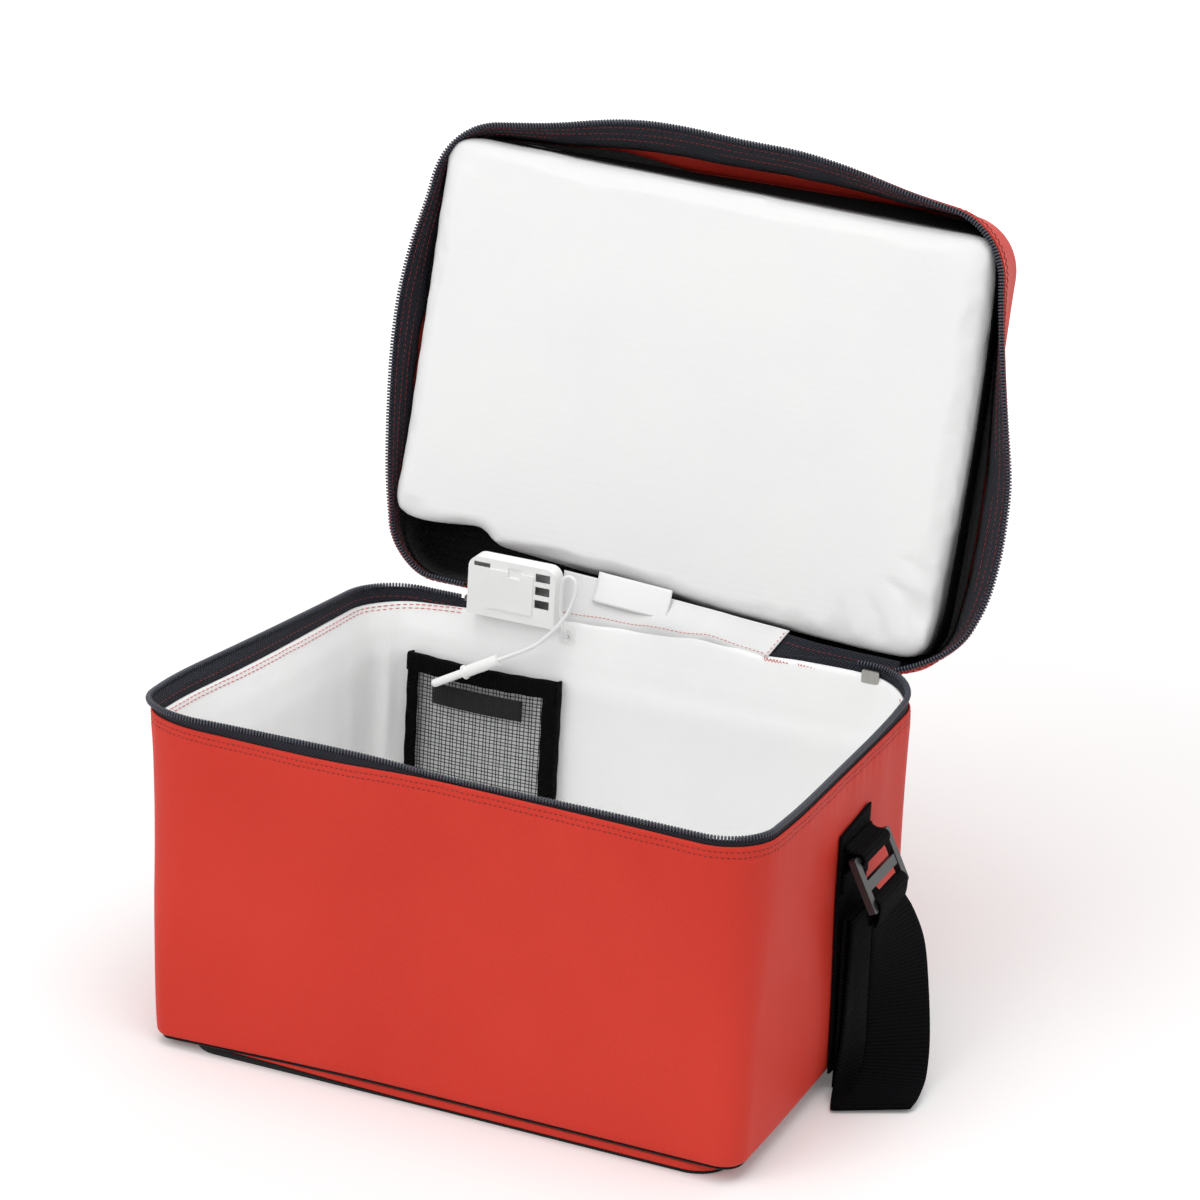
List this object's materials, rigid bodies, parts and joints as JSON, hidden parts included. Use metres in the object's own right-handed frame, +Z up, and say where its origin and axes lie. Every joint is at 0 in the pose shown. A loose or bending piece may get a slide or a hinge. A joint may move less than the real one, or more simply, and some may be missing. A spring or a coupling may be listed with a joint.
{
  "type": "insulated vaccine carrier",
  "caption": "Soft-sided insulated carrier box with a zipped, hinged lid held open, padded lid insert, net pocket, seal housing, temperature probe and a webbing carrying strap.",
  "frame": {"origin": "centre of the base's underside, on the ground", "axes": "+Z up; +X to the right seen from the front; the front faces -Y and the lid's hinge is at +Y"},
  "size_m": [0.3802, 0.33, 0.387],
  "materials": {
    "red_fabric": "PVC-coated woven fabric, slight sheen",
    "black_fabric": "matt woven",
    "webbing": "ribbed polypropylene webbing",
    "zip_tape": "twill zip tape",
    "zip_teeth": "moulded nylon coil",
    "zip_metal": "nickel plated",
    "white_fabric": "smooth wipe-clean sheet",
    "foam": "closed-cell foam",
    "lid_lining": "thin black lining",
    "pocket_binding": "grosgrain binding",
    "pocket_mesh": "open polyester net",
    "white_plastic": "moulded, satin",
    "lead": "PVC sleeve",
    "probe_steel": "polished stainless",
    "buckle_plastic": "black acetal",
    "button_rubber": "soft",
    "cell_metal": "nickel plated",
    "board": "solder mask",
    "screen": "liquid crystal panel",
    "window": "clear acrylic"
  },
  "bodies": {
    "case": {"base_panel": "red_fabric", "base_piping": "black_fabric", "base_sheet": "black_fabric", "buckle_loop_left": "webbing", "buckle_loop_right": "webbing", "case_zip_tape": "zip_tape", "case_zip_teeth": "zip_teeth", "circuit_board": "board", "coin_cell": "cell_metal", "display_back": "white_plastic", "display_case": "white_plastic", "display_holder": "white_plastic", "floor_foam": "foam", "front_foam": "foam", "hinge_flap": "white_fabric", "hinge_web": "black_fabric", "lcd_panel": "screen", "lcd_window": "window", "lead_grommet": "white_plastic", "left_foam": "foam", "liner": "white_fabric", "outer_shell": "red_fabric", "pocket_binding": "pocket_binding", "pocket_closure": "pocket_binding", "pocket_mesh": "pocket_mesh", "probe_body": "white_plastic", "probe_lead": "lead", "probe_tip": "probe_steel", "rear_foam": "foam", "right_foam": "foam", "seal_housing": "white_plastic", "seal_latch": "white_plastic", "side_webbing_left": "webbing", "side_webbing_right": "webbing", "strap_drop_left": "webbing", "strap_drop_right": "webbing", "strap_run": "webbing", "zip_stops": "zip_metal"},
    "lid": {"lid_band": "red_fabric", "lid_panel": "red_fabric", "lid_zip_teeth": "zip_teeth", "lid_zip_tape": "zip_tape", "lid_lining": "lid_lining", "pad_cover": "white_fabric", "pad_foam": "foam", "pad_band": "black_fabric", "blank_label": "white_fabric", "lid_hinge_web": "black_fabric", "lid_hinge_flap": "white_fabric"},
    "zip_slider": {"zip_slider": "zip_metal"},
    "zip_pull": {"zip_pull": "zip_metal"},
    "buckle_right": {"buckle_right": "buckle_plastic", "strap_wrap_right": "webbing"},
    "buckle_left": {"buckle_left": "buckle_plastic", "strap_wrap_left": "webbing"},
    "mode_button": {"mode_button": "button_rubber"},
    "reset_button": {"reset_button": "button_rubber"},
    "battery_cover": {"battery_cover": "white_plastic"}
  },
  "joints": [
    {"name": "lid_hinge", "type": "hinge", "parent": "case", "child": "lid", "pos_m": [0, 0.1144, 0.166], "axis": [1, 0, 0], "range_deg": [0, 105]},
    {"name": "slider_travel", "type": "hinge", "parent": "case", "child": "zip_slider", "pos_m": [0.122, 0.087, 0.166], "axis": [0, 0, -1], "range_deg": [0, 90]},
    {"name": "zip_pull_swing", "type": "hinge", "parent": "zip_slider", "child": "zip_pull", "pos_m": [0.122, 0.118, 0.1615], "axis": [1, 0, 0], "range_deg": [0, 70]},
    {"name": "buckle_right_swing", "type": "hinge", "parent": "case", "child": "buckle_right", "pos_m": [0.16, 0.015, 0.12], "axis": [0, -1, 0], "range_deg": [0, 60]},
    {"name": "buckle_left_swing", "type": "hinge", "parent": "case", "child": "buckle_left", "pos_m": [-0.16, 0.015, 0.12], "axis": [0, 1, 0], "range_deg": [0, 60]},
    {"name": "mode_button_press", "type": "slide", "parent": "case", "child": "mode_button", "axis": [0, -1, 0], "range_m": [0, 0.0008], "stiffness_N_per_m": 400},
    {"name": "reset_button_press", "type": "slide", "parent": "case", "child": "reset_button", "axis": [0, -1, 0], "range_m": [0, 0.0008], "stiffness_N_per_m": 400},
    {"name": "battery_cover_turn", "type": "hinge", "parent": "case", "child": "battery_cover", "pos_m": [-0.039, 0.1169, 0.119], "axis": [0, 1, 0], "range_deg": [0, 30]}
  ]
}
